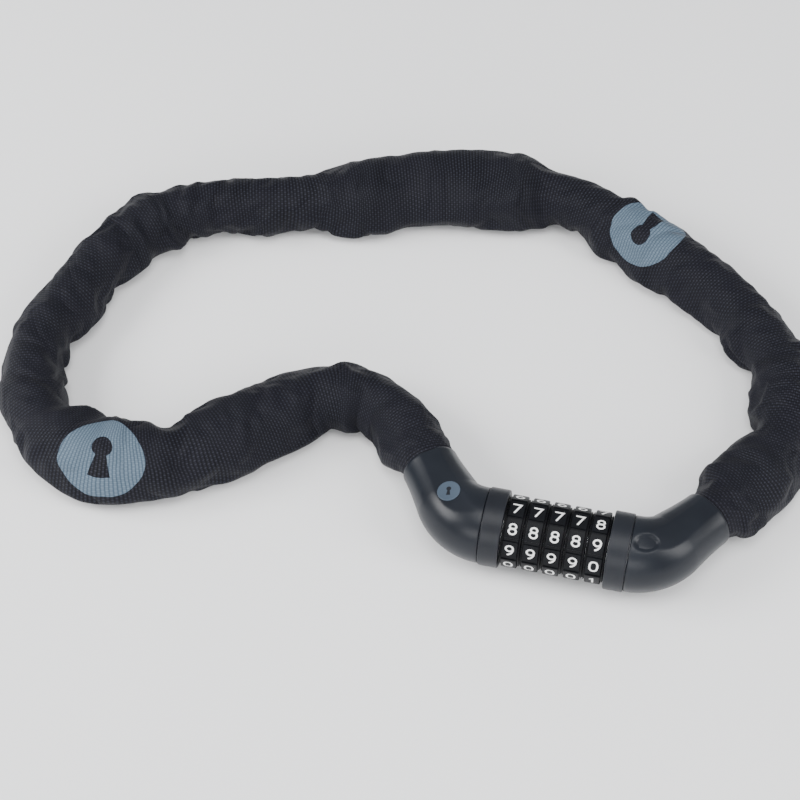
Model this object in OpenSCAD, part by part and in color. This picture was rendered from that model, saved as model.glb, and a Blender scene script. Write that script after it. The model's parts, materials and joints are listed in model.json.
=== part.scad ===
// Combination chain lock, lying in its closed loop on a table.
// Five number wheels turn on a slotted barrel. A finned bolt pushes in along the barrel
// from the right, and a steel chain in a woven sleeve joins the two halves.
// Everything is drawn round the lock's own axis, which runs along X, and then moved by
// place() so that the origin is under the middle of the whole loop.

/* [Lock body] */
// Height of the lock's axis above the table, which is also the collars' radius
axis_z = 16; // [15.8:0.1:16.4]
// Width of each collar beside the wheels
collar_w = 8; // [7:0.5:9]
// Radius of each elbow where it meets its collar
elbow_root_r = 15.5; // [15:0.1:15.7]
// Radius of each elbow at its open mouth
elbow_mouth_r = 12; // [12:0.1:13]
// Thickness of the elbows' plastic wall
elbow_wall = 1.1; // [1:0.1:1.2]

/* [Number wheels] */
// Distance from one wheel to the next
wheel_pitch = 8.5; // [8.5:0.1:9]
// Radius over the number pads
pad_r = 14.8; // [14:0.1:15.2]
// Radius of the plain rim between the pads of two wheels
rim_r = 13; // [12.5:0.1:13.2]
// Width of the number pads
pad_w = 6.4; // [6:0.1:7]
// Height of the row that shows the code, as an angle up from the table
code_row_angle = 52; // [40:1:60]

/* [Barrel and bolt] */
// Outer radius of the barrel that the code rings turn on
barrel_r = 9; // [8.8:0.05:9]
// Radius of the bolt's shank
bolt_r = 5; // [4.5:0.1:5.2]
// Radius out to the tips of the bolt's fins
fin_tip_r = 10.6; // [10:0.1:10.6]
// Thickness of each fin along the bolt
fin_t = 2.4; // [2:0.1:2.6]

/* [Chain and sleeve] */
// Side of the links' square steel section
wire = 5.5; // [5:0.1:5.5]
// Width of a link's opening
link_gap = 7.5; // [7.3:0.1:7.6]
// Play between two neighbouring links
link_play = 1.5; // [1.3:0.1:2]
// Width of the filled sleeve
sleeve_w = 32; // [30:0.5:34]
// Height of the filled sleeve
sleeve_h = 25; // [24.5:0.5:26]
// Thickness of the sleeve's fabric
sleeve_t = 0.6; // [0.4:0.1:0.7]

/* [Hidden] */
$fn = 96;
wheel_count = 5;
link_count = 31;

// Middle of the whole loop, seen from above, in the lock axis's own coordinates
loop_centre = [-77.3, 93.7];

// Wheels, code rings and the gaps that keep them free
wheel_w = wheel_pitch - 0.2;
stack_half = wheel_count * wheel_pitch / 2;
collar_in = stack_half + 0.45;
collar_out = collar_in + collar_w;
pads_per_wheel = 10;
pad_step = 360 / pads_per_wheel;
pad_groove_w = 1;
pad_groove_d = 0.9;
ring_r = 11;
ring_w = 4.6;
ring_shift = 1.7;
run_gap = 0.05;
wheel_bore_r = ring_r + run_gap;
key_w = 2;
key_h = 0.5;
notch_w = 3.2;
flute_r = 0.5;

// Barrel, bolt and the pieces that hold them
slot_w = 2.8;
fin_w = 2.4;
fin_shift = -2.55;
barrel_end = collar_in + 0.7;
socket_end = 31;
bolt_tip = -stack_half + 0.25;
core_r = elbow_root_r - elbow_wall - 0.1;
core_end = 31;
neck_r = 10;
neck_end = 35;
fork_start = 31.2;
fork_gap = 7.2;
fork_h = 15.2;
lug_w = 11;
chain_pin_r = 3;
cross_pin_r = 1.2;
cross_pin_x = 26;
strip_w = 4;
strip_r = 8.2;
strip_t = 0.4;

// Elbow: leaves the collar along X, turns on an arc and runs straight to its mouth
elbow_turn = 54;
elbow_bend_r = 20;
elbow_straight = 20.6;
mouth_z = 15;
elbow_rings = 22;
elbow_sides = 40;

// Sleeve: the loop's middle line from the left mouth round to the right mouth
sleeve_sides = 20;
sleeve_rings = 50;
sleeve_tuck = 3;
sleeve_flare = 18;
sleeve_z = sleeve_h / 2;
route = [
    [-58, 25], [-67, 38], [-79, 50], [-95, 55], [-112, 51], [-126, 40], [-141, 26],
    [-156, 12], [-172, 3], [-191, -1], [-211, 4], [-227, 18], [-236, 38], [-237, 60],
    [-231, 84], [-225, 106], [-214, 127], [-196, 142], [-174, 151], [-151, 158],
    [-128, 168], [-103, 178], [-78, 185], [-52, 188], [-27, 187], [-5, 178],
    [18, 166], [39, 153], [57, 138], [71, 121], [80, 103], [83, 85], [81, 66],
    [76, 50], [67, 37], [58, 25]
];
spline_steps = 6;

function mix(a, b, t) = a + (b - a) * t;
function ramp(t) = let (u = max(0, min(1, t))) u * u * (3 - 2 * u);
function wheel_x(i) = (i - (wheel_count + 1) / 2) * wheel_pitch;

// Middle line of the right elbow, t from 0 at the collar to 1 at the mouth
elbow_arc = elbow_bend_r * elbow_turn * PI / 180;
elbow_length = elbow_arc + elbow_straight;
function elbow_angle(t) = elbow_turn * min(1, t * elbow_length / elbow_arc);
function elbow_at(t) = let (
    q = elbow_angle(t),
    run = max(0, t * elbow_length - elbow_arc)
) [
    collar_out + elbow_bend_r * sin(q) + run * cos(q),
    elbow_bend_r * (1 - cos(q)) + run * sin(q),
    mix(axis_z, mouth_z, t * t)
];
function elbow_dir(t) = [cos(elbow_angle(t)), sin(elbow_angle(t))];
function elbow_r(t) = mix(elbow_root_r, elbow_mouth_r, ramp(t));
function flip_x(p) = [-p.x, p.y, p.z];

// A smooth curve through the route's points, from mouth to mouth
function route_point(i) = let (
    last = len(route) - 1,
    k = max(0, min(last, i)),
    z = (k == 0 || k == last) ? mouth_z : sleeve_z
) [route[k].x, route[k].y, z];
function on_table(p) = [p.x, p.y, max(p.z, sleeve_z)];
function spline_at(i, t) = let (
    a = route_point(i - 1), b = route_point(i), c = route_point(i + 1), d = route_point(i + 2)
) 0.5 * (2 * b + (c - a) * t + (2 * a - 5 * b + 4 * c - d) * t * t
    + (3 * b - a - 3 * c + d) * t * t * t);
loop_points = [
    for (i = [0:len(route) - 2]) for (k = [0:spline_steps - 1])
        on_table(spline_at(i, k / spline_steps)),
    route_point(len(route) - 1)
];

// The chain's whole line, from the left chain pin to the right one, by distance along it
pin_t = 0.5;
elbow_line = [for (k = [0:11]) elbow_at(mix(pin_t - 0.2, 1, k / 12))];
line = concat(
    [for (p = elbow_line) flip_x(p)],
    loop_points,
    [for (k = [11:-1:0]) elbow_line[k]]
);
line_s = [
    for (i = 0, s = 0; i < len(line); s = s + norm(line[min(i + 1, len(line) - 1)] - line[i]),
        i = i + 1) s
];
line_x = [for (i = [0:len(line) - 1]) [line_s[i], line[i].x]];
line_y = [for (i = [0:len(line) - 1]) [line_s[i], line[i].y]];
line_z = [for (i = [0:len(line) - 1]) [line_s[i], line[i].z]];
function line_at(s) = [lookup(s, line_x), lookup(s, line_y), lookup(s, line_z)];
function line_dir(s) = let (d = line_at(s + 1) - line_at(s - 1)) d / norm(d);
line_length = line_s[len(line) - 1];
mouth_s = line_s[len(elbow_line)];
pin_at = elbow_at(pin_t);
pin_s = norm(pin_at - elbow_line[0]);

// Links hook one another at even steps; the pins sit inside the two end links
hook_start = pin_s - chain_pin_r + link_play / 2 - 0.2;
hook_step = (line_length - 2 * hook_start) / link_count;
link_inner = hook_step + link_play;
link_bar = link_inner - link_gap;
link_bend_r = (link_gap + wire) / 2;
wire_chamfer = wire / 5;

module place() translate([-loop_centre.x, -loop_centre.y, 0]) children();

// A round bar along the lock's axis, from x = a to x = b
module bar(a, b, r) translate([a, 0, axis_z]) rotate([0, 90, 0]) cylinder(r = r, h = b - a);

// A tube swept through rings of points, with an inner wall; outer and inner hold the rings
module swept_tube(outer, inner) {
    rings = len(outer);
    n = len(outer[0]);
    inside = rings * n;
    points = concat([for (r = outer) each r], [for (r = inner) each r]);
    sides = [
        for (i = [0:rings - 2]) for (j = [0:n - 1])
            let (a = i * n + j, b = i * n + (j + 1) % n, c = a + n, d = b + n)
            each [[a, b, d], [a, d, c], [inside + a, inside + d, inside + b],
                [inside + a, inside + c, inside + d]]
    ];
    end = (rings - 1) * n;
    ends = [
        for (j = [0:n - 1]) let (k = (j + 1) % n)
            each [[j, inside + k, k], [j, inside + j, inside + k],
                [end + j, end + k, inside + end + k], [end + j, inside + end + k, inside + end + j]]
    ];
    polyhedron(points = points, faces = concat(sides, ends), convexity = 8);
}

// An upright oval of half width a and half height b round p, square to the direction d
function oval(p, d, a, b, n) = [
    for (j = [0:n - 1]) let (q = 360 * (j + 0.5) / n)
        p + a * cos(q) * [-d.y, d.x, 0] / norm([d.x, d.y]) + [0, 0, b * sin(q)]
];

module right_elbow() swept_tube(
    [for (k = [0:elbow_rings]) let (t = k / elbow_rings, r = elbow_r(t))
        oval(elbow_at(t), elbow_dir(t), r, r, elbow_sides)],
    [for (k = [0:elbow_rings]) let (t = k / elbow_rings, r = elbow_r(t) - elbow_wall)
        oval(elbow_at(t), elbow_dir(t), r, r, elbow_sides)]
);

// The badge lies in a shallow seat on top of the left elbow
badge_r = 4.75;
badge_t = 0.5;
badge_at = 0.4;
badge_seat = 0.7;
badge_lean = [10, -7, 0];
module at_badge() translate(flip_x(elbow_at(badge_at)))
    rotate([0, 0, -elbow_angle(badge_at)]) rotate(badge_lean)
    translate([0, 0, elbow_r(badge_at) - badge_seat]) children();
module body_elbow_shell() color("#2a303b") place() difference() {
    mirror([1, 0, 0]) right_elbow();
    at_badge() cylinder(r = badge_r, h = 5);
}
module body_badge() color("#7d93a6") place() at_badge() cylinder(r = badge_r, h = badge_t);
module plug_elbow_shell() color("#2a303b") place() right_elbow();

module right_collar() difference() {
    bar(collar_in, collar_out, axis_z);
    bar(collar_in - 1, collar_out + 1, core_r + 0.1);
}
module body_collar() color("#20252e") place() mirror([1, 0, 0]) right_collar();
module plug_collar() color("#20252e") place() right_collar();

// Steel core inside a collar and elbow, with a fork that holds the chain pin
module right_core() {
    lug_from = [core_end - 3, 0];
    lug_to = [pin_at.x, pin_at.y];
    lug_length = norm(lug_to - lug_from);
    difference() {
        union() {
            bar(collar_in, core_end, core_r);
            bar(core_end - 0.5, neck_end, neck_r);
            translate([lug_from.x, lug_from.y, pin_at.z - fork_h / 2])
                rotate([0, 0, atan2(lug_to.y - lug_from.y, lug_to.x - lug_from.x)])
                translate([0, -lug_w / 2, 0]) cube([lug_length + lug_w / 2, lug_w, fork_h]);
        }
        translate([fork_start, -20, pin_at.z - fork_gap / 2]) cube([30, 40, fork_gap]);
        translate([lug_to.x, lug_to.y, 0]) cylinder(r = chain_pin_r, h = 2 * axis_z);
        translate([cross_pin_x, 0, 0]) cylinder(r = cross_pin_r, h = 2 * axis_z);
    }
}
module body_core() color("#8d9196") place() difference() {
    mirror([1, 0, 0]) right_core();
    bar(-socket_end + 1, -collar_in + 1, barrel_r);
}
module plug_core() color("#8d9196") place() difference() {
    right_core();
    bar(collar_in - 1, socket_end, bolt_r);
    bar(collar_in - 1, collar_in + 1.2, wheel_bore_r + 1.5);
}

module cross_pin(x) translate([x, 0, axis_z - core_r]) cylinder(r = cross_pin_r, h = 2 * core_r);
module barrel_pin() color("#b9bcc0") place() cross_pin(-cross_pin_x);
module bolt_pin() color("#b9bcc0") place() cross_pin(cross_pin_x);

module right_chain_pin() translate([pin_at.x, pin_at.y, pin_at.z - fork_h / 2])
    cylinder(r = chain_pin_r, h = fork_h);
module body_chain_pin() color("#a9adb2") place() mirror([1, 0, 0]) right_chain_pin();
module plug_chain_pin() color("#a9adb2") place() right_chain_pin();

// Barrel: a tube with a slot below for the fins and a seat above for the click spring
module barrel() color("#b4b7bb") place() difference() {
    bar(-socket_end + 1, barrel_end, barrel_r);
    bar(-stack_half, barrel_end + 1, bolt_r + run_gap);
    translate([-stack_half, -slot_w / 2, 0]) cube([2 * barrel_end, slot_w, axis_z]);
    translate([-stack_half, -strip_w / 2 - 0.1, axis_z + strip_r])
        cube([2 * stack_half - 0.5, strip_w + 0.2, axis_z]);
    translate([-cross_pin_x, 0, 0]) cylinder(r = cross_pin_r, h = 2 * axis_z);
}
// Click spring: a strip with one bump under each code ring
module click_spring() color("#c9ccd0") place() {
    translate([-stack_half + 0.2, -strip_w / 2, axis_z + strip_r])
        cube([2 * stack_half - 1, strip_w, strip_t]);
    for (i = [1:wheel_count])
        translate([wheel_x(i) + ring_shift, 0, axis_z + strip_r + 0.2]) cylinder(r = 0.6, h = 0.55);
}
// Washer and ring that hold the stack of wheels on the barrel
module wave_washer() color("#c9ccd0") place() difference() {
    bar(-stack_half - 0.35, -stack_half + 0.05, ring_r);
    bar(-stack_half - 1, -stack_half + 1, barrel_r);
}
module retaining_ring() color("#a9adb2") place() difference() {
    bar(stack_half - 0.05, stack_half + 0.75, ring_r + 0.4);
    bar(stack_half - 1, stack_half + 2, barrel_r);
    translate([stack_half - 1, -notch_w / 2, 0]) cube([3, notch_w, axis_z]);
}

// Number wheel: ten raised pads on a plain rim, keyed to its code ring
module number_wheel(i) color("#15171b") place()
    translate([wheel_x(i), 0, axis_z]) rotate([0, 90, 0]) difference() {
        union() {
            cylinder(r = rim_r, h = wheel_w, center = true);
            cylinder(r = pad_r, h = pad_w, center = true);
        }
        cylinder(r = wheel_bore_r, h = wheel_w + 1, center = true);
        for (k = [0:pads_per_wheel - 1])
            rotate([0, 0, (k + 0.5) * pad_step - 90 - code_row_angle])
                translate([pad_r - pad_groove_d, -pad_groove_w / 2, -pad_w])
                cube([pad_r, pad_groove_w, 2 * pad_w]);
        translate([-ring_r - key_h - 0.1, -key_w / 2 - 0.05, -wheel_w])
            cube([ring_r, key_w + 0.1, 2 * wheel_w]);
    }
// Code ring: a steel ring whose one notch lets the bolt's fin past, with ten click flutes
module code_ring(i) color("#b0a070") place()
    translate([wheel_x(i) + ring_shift, 0, axis_z]) rotate([0, 90, 0]) difference() {
        union() {
            cylinder(r = ring_r, h = ring_w, center = true);
            translate([-ring_r - key_h, -key_w / 2, -ring_w / 2]) cube([key_h + 1, key_w, ring_w]);
        }
        cylinder(r = barrel_r + run_gap, h = ring_w + 1, center = true);
        translate([0, -notch_w / 2, -ring_w]) cube([2 * ring_r, notch_w, 2 * ring_w]);
        for (k = [1:pads_per_wheel - 1])
            rotate([0, 0, k * pad_step]) translate([barrel_r + run_gap, 0, -ring_w])
                cylinder(r = flute_r, h = 2 * ring_w);
    }

// Lock bolt: a round shank with one fin below for each code ring
module lock_bolt() color("#c3c6ca") place() difference() {
    union() {
        bar(bolt_tip, socket_end, bolt_r);
        for (i = [1:wheel_count])
            translate([wheel_x(i) + fin_shift - fin_t / 2, -fin_w / 2, axis_z - fin_tip_r])
                cube([fin_t, fin_w, fin_tip_r]);
    }
    translate([cross_pin_x, 0, 0]) cylinder(r = cross_pin_r, h = 2 * axis_z);
}

function sleeve_fill(s) = ramp((min(s, line_length - s) - mouth_s) / sleeve_flare);
function sleeve_ring(s, inset) = let (
    tight = elbow_mouth_r - elbow_wall - 0.2,
    fit = cos(180 / sleeve_sides),
    a = mix(tight, sleeve_w / 2, sleeve_fill(s)) - inset,
    b = mix(tight, sleeve_h / 2 / fit, sleeve_fill(s)) - inset
) oval(line_at(s), line_dir(s), a, b, sleeve_sides);
module sleeve() color("#14161c") place() {
    end_part = concat([-sleeve_tuck], [for (k = [0:3]) k / 4 * sleeve_flare]);
    step = (line_length - 2 * (mouth_s + sleeve_flare)) / sleeve_rings;
    stations = concat(
        [for (e = end_part) mouth_s + e],
        [for (k = [0:sleeve_rings]) mouth_s + sleeve_flare + k * step],
        [for (k = [len(end_part) - 1:-1:0]) line_length - mouth_s - end_part[k]]
    );
    swept_tube([for (s = stations) sleeve_ring(s, 0)], [for (s = stations) sleeve_ring(s, sleeve_t)]);
}

// One link lying flat along X: two bars and two half rings of chamfered square steel
module wire_section() {
    h = wire / 2;
    c = h - wire_chamfer;
    polygon([[h, -c], [h, c], [c, h], [-c, h], [-h, c], [-h, -c], [-c, -h], [c, -h]]);
}
module link() {
    for (side = [-1, 1]) {
        translate([-link_bar / 2, side * link_bend_r, 0]) rotate([90, 0, 90])
            linear_extrude(link_bar) wire_section();
        translate([side * link_bar / 2, 0, 0]) rotate([0, 0, -90 * side])
            rotate_extrude(angle = 180) translate([link_bend_r, 0]) wire_section();
    }
}
// Odd links lie flat along the line; each even link stands upright and hooks its neighbours
function flat_ends(k) = [
    line_at(hook_start + (k - 1) * hook_step),
    line_at(hook_start + k * hook_step)
];
function hook_in(from, to) = let (d = (to - from) / norm(to - from))
    (from + to) / 2 + d * ((link_inner - wire) / 2 - link_play);
function link_ends(k) = let (a = flat_ends(k - 1), b = flat_ends(k + 1))
    k % 2 == 1 ? flat_ends(k) : [hook_in(a[0], a[1]), hook_in(b[1], b[0])];
module chain_link(k) color("#9a9da1") place() {
    ends = link_ends(k);
    d = ends[1] - ends[0];
    translate((ends[0] + ends[1]) / 2)
        rotate([k % 2 == 1 ? 0 : 90, -asin(d.z / norm(d)), atan2(d.y, d.x)]) link();
}

body_elbow_shell();
body_collar();
body_core();
body_badge();
barrel();
barrel_pin();
retaining_ring();
wave_washer();
click_spring();
body_chain_pin();
for (i = [1:wheel_count]) {
    number_wheel(i);
    code_ring(i);
}
plug_elbow_shell();
plug_collar();
plug_core();
lock_bolt();
bolt_pin();
plug_chain_pin();
sleeve();
for (k = [1:link_count])
    chain_link(k);
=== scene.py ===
"""The chain lock's looks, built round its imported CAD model."""

import json
import math

import bmesh
import bpy
import numpy as np
from mathutils import Matrix, Vector, noise


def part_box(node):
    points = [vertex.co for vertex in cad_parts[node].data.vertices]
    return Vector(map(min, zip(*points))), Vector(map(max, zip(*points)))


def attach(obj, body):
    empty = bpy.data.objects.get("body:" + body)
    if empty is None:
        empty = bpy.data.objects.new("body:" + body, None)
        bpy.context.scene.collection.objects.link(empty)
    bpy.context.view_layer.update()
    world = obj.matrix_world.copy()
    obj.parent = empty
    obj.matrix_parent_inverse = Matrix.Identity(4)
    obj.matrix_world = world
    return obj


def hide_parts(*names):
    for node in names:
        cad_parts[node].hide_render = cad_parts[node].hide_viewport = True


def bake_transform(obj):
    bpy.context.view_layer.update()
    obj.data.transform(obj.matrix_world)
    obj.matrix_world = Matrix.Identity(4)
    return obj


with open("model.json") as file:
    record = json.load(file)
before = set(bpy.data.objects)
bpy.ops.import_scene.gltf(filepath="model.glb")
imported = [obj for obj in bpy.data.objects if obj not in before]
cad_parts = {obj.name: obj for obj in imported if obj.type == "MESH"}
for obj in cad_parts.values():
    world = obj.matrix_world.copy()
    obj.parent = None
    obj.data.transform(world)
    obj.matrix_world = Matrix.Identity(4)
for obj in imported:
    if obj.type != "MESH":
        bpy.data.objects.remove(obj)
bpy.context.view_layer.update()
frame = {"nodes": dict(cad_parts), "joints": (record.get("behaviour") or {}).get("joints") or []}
MM = 0.001

# ---------------------------------------------------------------- the frame's own places
JOINTS = {j["name"]: j for j in frame["joints"]}
WHEELS = 5
WHEEL_X = [JOINTS[f"wheel_{i}_spin"]["pos_m"][0] for i in range(1, WHEELS + 1)]
LOCK = Vector(JOINTS["wheel_3_spin"]["pos_m"])
COLLAR_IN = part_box("plug_collar")[0].x - LOCK.x
COLLAR_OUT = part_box("plug_collar")[1].x - LOCK.x
COLLAR_R = (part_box("plug_collar")[1].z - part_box("plug_collar")[0].z) / 2


def smooth(t):
    t = np.clip(t, 0, 1)
    return t * t * (3 - 2 * t)


def mix(a, b, t):
    return a + (b - a) * t


# ---------------------------------------------------------------- camera
CAMERA_AZIMUTH = math.radians(13.2)
CAMERA_ELEVATION = math.radians(52)
CAMERA_DISTANCE = 0.894
CAMERA_AIM = (-0.063, 0.056)  # from the wheels' middle, to the camera's right and up


def add_camera():
    a, e = CAMERA_AZIMUTH, CAMERA_ELEVATION
    back = Vector((math.sin(a) * math.cos(e), -math.cos(a) * math.cos(e), math.sin(e)))
    right = Vector((math.cos(a), math.sin(a), 0))
    up = back.cross(right)
    data = bpy.data.cameras.new("camera")
    data.lens = 100
    data.sensor_width = 36
    data.clip_start = 0.01
    camera = bpy.data.objects.new("camera", data)
    bpy.context.scene.collection.objects.link(camera)
    aim = LOCK + right * CAMERA_AIM[0] + up * CAMERA_AIM[1]
    camera.matrix_world = Matrix.Translation(aim + back * CAMERA_DISTANCE) @ Matrix(
        (right, up, back)).transposed().to_4x4()
    bpy.context.scene.camera = camera


add_camera()


# ---------------------------------------------------------------- mesh helpers
def new_object(name, vertices, faces, smooth_faces=True):
    mesh = bpy.data.meshes.new(name)
    mesh.from_pydata([tuple(v) for v in vertices], [], [tuple(f) for f in faces])
    mesh.validate()
    mesh.update()
    if smooth_faces:
        mesh.polygons.foreach_set("use_smooth", [True] * len(mesh.polygons))
    obj = bpy.data.objects.new(name, mesh)
    bpy.context.scene.collection.objects.link(obj)
    return obj


def grid_faces(rows, columns, wrap=True):
    """Quads of a grid of points; wrap joins each row's last point to its first."""
    span = columns if wrap else columns - 1
    return [
        (r * columns + c, r * columns + (c + 1) % columns,
         (r + 1) * columns + (c + 1) % columns, (r + 1) * columns + c)
        for r in range(rows - 1) for c in range(span)
    ]


def fix_normals(obj):
    b = bmesh.new()
    b.from_mesh(obj.data)
    bmesh.ops.recalc_face_normals(b, faces=b.faces)
    b.to_mesh(obj.data)
    b.free()


def apply_modifiers(obj):
    bpy.context.view_layer.update()
    evaluated = obj.evaluated_get(bpy.context.evaluated_depsgraph_get())
    mesh = bpy.data.meshes.new_from_object(evaluated)
    obj.modifiers.clear()
    obj.data = mesh


def subdivide(obj, levels=1):
    m = obj.modifiers.new("subdivide", "SUBSURF")
    m.levels = m.render_levels = levels
    apply_modifiers(obj)


# ---------------------------------------------------------------- the sleeve's route
# The loop's middle line from the left mouth round to the right mouth, in millimetres from
# the wheels' middle: the same points as the CAD sleeve's.
ROUTE = [
    (-58, 25), (-67, 38), (-79, 50), (-95, 55), (-112, 51), (-126, 40), (-141, 26),
    (-156, 12), (-172, 3), (-191, -1), (-211, 4), (-227, 18), (-236, 38), (-237, 60),
    (-231, 84), (-225, 106), (-214, 127), (-196, 142), (-174, 151), (-151, 158),
    (-128, 168), (-103, 178), (-78, 185), (-52, 188), (-27, 187), (-5, 178),
    (18, 166), (39, 153), (57, 138), (71, 121), (80, 103), (83, 85), (81, 66),
    (76, 50), (67, 37), (58, 25),
]
# How far the fabric stands out on the loop's outer and inner side, against a plain tube:
# (distance from the left mouth, outer, inner)
FILL = [
    (0, 1.0, 1.0), (12, .95, .75), (36, .97, .78), (54, .97, 1.04), (76, .9, 1.18),
    (108, 1.08, 1.12), (140, 1.08, 1.1), (164, 1.13, 1.3), (186, .92, 1.38),
    (208, .9, .95), (244, .86, .86), (284, .74, .9), (316, .9, .92), (345, .77, .76),
    (394, .9, .88), (420, 1.1, 1.18), (468, 1.22, 1.1), (500, 1.18, 1.25), (518, .86, .82),
    (548, 1.0, 1.04), (572, 1.0, 1.0), (606, .88, .86), (636, .9, .95), (664, .92, 1.02),
    (688, .92, 1.0), (718, .84, 1.34), (736, .9, 1.28), (748, 1.0, 1.0),
]
# Sharp tucks: (distance, side, depth, half length), side 1 on the outside, -1 on the inside
TUCKS = [
    (68, 1, .2, 6), (132, -1, .34, 5), (203, -1, .22, 6), (252, -1, .2, 5), (292, -1, .2, 5),
    (318, -1, .4, 4), (331, -1, -.2, 5), (325, 1, -.14, 7), (381, 1, .32, 5), (388, -1, .28, 5),
    (444, -1, .16, 6), (535, -1, .36, 7), (522, 1, .1, 5), (620, -1, .16, 5),
    (646, -1, .3, 7), (691, -1, .5, 6),
]
HALF_WIDTH = 16.0
HALF_HEIGHT = 12.5
TUBE_Z = 12.5
MOUTH_Z = 15.0
MOUTH_R = 10.6
LINK_CLEAR = 10.6  # the chain inside needs this much on every side, and more by the mouths
SQUARE = 0.92      # under 1 makes the filled sleeve's section a little squarer
TUCK_IN = 3.0      # how far the sleeve goes into the elbows' mouths
FLARE = 16.0
UNDERSIDE = 0.35   # the fabric's lowest height above the table
LINK_STEP = 50.6   # the chain lifts the fabric over every second link


def spline(points, steps):
    """A Catmull-Rom curve through the points."""
    p = np.array(points, float)
    last = len(p) - 1
    curve = []
    for i in range(last):
        a, b, c, d = p[max(i - 1, 0)], p[i], p[i + 1], p[min(i + 2, last)]
        for k in range(steps):
            t = k / steps
            curve.append(0.5 * (2 * b + (c - a) * t + (2 * a - 5 * b + 4 * c - d) * t * t
                                + (3 * b - a - 3 * c + d) * t ** 3))
    return np.array(curve + [p[-1]])


LINE = spline(ROUTE, 12)
LINE_S = np.concatenate([[0], np.cumsum(np.linalg.norm(np.diff(LINE, axis=0), axis=1))])
SLEEVE_LENGTH = float(LINE_S[-1])


def line_at(s):
    """The middle line's place at distance s, running straight on past both mouths."""
    inside = min(max(s, 0), SLEEVE_LENGTH)
    x = float(np.interp(inside, LINE_S, LINE[:, 0]))
    y = float(np.interp(inside, LINE_S, LINE[:, 1]))
    over = s - inside
    if over:
        d = LINE[1] - LINE[0] if over < 0 else LINE[-1] - LINE[-2]
        d = d / np.linalg.norm(d)
        x, y = x + d[0] * over, y + d[1] * over
    return np.array([x, y])


def line_dir(s):
    d = line_at(s + 1.5) - line_at(s - 1.5)
    return d / np.linalg.norm(d)


FILL_TABLE = np.array(FILL, float)


def fill_at(s):
    """Outer and inner fill at distance s, tucks included."""
    both = [float(np.interp(s, FILL_TABLE[:, 0], FILL_TABLE[:, k])) for k in (1, 2)]
    for where, side, depth, half in TUCKS:
        both[0 if side > 0 else 1] -= depth * math.exp(-((s - where) / half) ** 2)
    return both


def to_row(p):
    """A point in millimetres from the wheels' middle, on the table, to metres in the row frame."""
    return Vector((p[0] * MM + LOCK.x, p[1] * MM + LOCK.y, p[2] * MM))


def fold_field(s, q, inner):
    """Height of the folds in mm: broad dents, and sharper ridges that run round the tube."""
    c, w = math.cos(q), math.sin(q)
    broad = noise.noise(Vector((s / 24, 1.1 * c, 1.1 * w)))
    bend = noise.noise(Vector((s / 30 + 9, 1.4 * c, 1.4 * w)))
    ridge = noise.noise(Vector((s / 8.5 + 1.6 * bend + 31, 0.9 * c, 0.9 * w)))
    gate = smooth(0.55 + 1.1 * noise.noise(Vector((s / 46 + 70, 0.8 * c, 0.8 * w))))
    sharp = 1 - 2.4 * abs(ridge)
    return 1.7 * broad + (0.9 + 1.3 * inner) * gate * sharp


def sleeve_point(s, q):
    """The sleeve's surface at distance s and angle q, in row metres; q = 0 on the outer side."""
    centre, d = line_at(s), line_dir(s)
    outer_side = np.array([-d[1], d[0]])
    end = float(smooth(min(s, SLEEVE_LENGTH - s) / FLARE))
    outer, inner = fill_at(s)
    lumps = 0.035 * math.cos(2 * math.pi * s / LINK_STEP)
    outer, inner = outer - lumps, inner - lumps
    a_out = max(HALF_WIDTH * outer, LINK_CLEAR)
    a_in = max(HALF_WIDTH * inner, LINK_CLEAR)
    lift = 0.6 * math.cos(2 * math.pi * s / LINK_STEP)
    high = HALF_HEIGHT * min(1.18, max(0.9, (outer + inner) / 2)) + lift
    c, w = math.cos(q), math.sin(q)
    c2 = math.copysign(abs(c) ** SQUARE, c)
    w2 = math.copysign(abs(w) ** SQUARE, w)
    side = mix(MOUTH_R, a_out if c > 0 else a_in, end) * (c2 if end > 0.5 else mix(c, c2, end))
    z_mid = mix(MOUTH_Z, high, end)
    up = mix(MOUTH_R, high, end) * (w2 if end > 0.5 else mix(w, w2, end))
    bump = fold_field(s, q, float(smooth(-c))) * end
    side += bump * c
    up += bump * w
    z = z_mid + up
    chain_z = mix(MOUTH_Z, TUBE_Z, end)
    far = math.hypot(side, z - chain_z)
    from_mouth = min(s, SLEEVE_LENGTH - s)
    clear = LINK_CLEAR + 1.5 * math.exp(-((from_mouth - 20) / 12) ** 2)
    if far < clear:
        side *= clear / far
        z = chain_z + (z - chain_z) * clear / far
    z = max(z, UNDERSIDE)
    p = centre + outer_side * side
    return to_row((p[0], p[1], z))


AROUND = 44
STEP = 2.4
SEAM_S = 262.0    # the sleeve's two lengths meet here, at the loop's left end


def girth_lengths(ring):
    """Distances round one ring of the sleeve, counted from its top."""
    top = AROUND // 4
    turned = np.array(ring[top:] + ring[:top + 1])
    return np.concatenate([[0], np.cumsum(np.linalg.norm(np.diff(turned, axis=0), axis=1))])


def sleeve_grid(start, stop, name):
    """One length of the sleeve, as an open tube with its distance and girth in its UV map."""
    rows = int(round((stop - start) / STEP)) + 1
    places = [start + (stop - start) * k / (rows - 1) for k in range(rows)]
    points = [sleeve_point(s, 2 * math.pi * k / AROUND) for s in places for k in range(AROUND)]
    obj = new_object(name, points, grid_faces(rows, AROUND))
    girths = [girth_lengths(points[r * AROUND:(r + 1) * AROUND]) for r in range(rows)]
    layer = obj.data.uv_layers.new(name="weave")
    for index, face in enumerate(obj.data.polygons):
        row, column = divmod(index, AROUND)
        base = (column - AROUND // 4) % AROUND
        corners = ((row, base), (row, base + 1), (row + 1, base + 1), (row + 1, base))
        for loop, (r, c) in zip(face.loop_indices, corners):
            back = girths[r][-1] if base > AROUND // 2 else 0
            layer.data[loop].uv = (places[r] * MM, girths[r][c] - back)
    return obj, places


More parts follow.
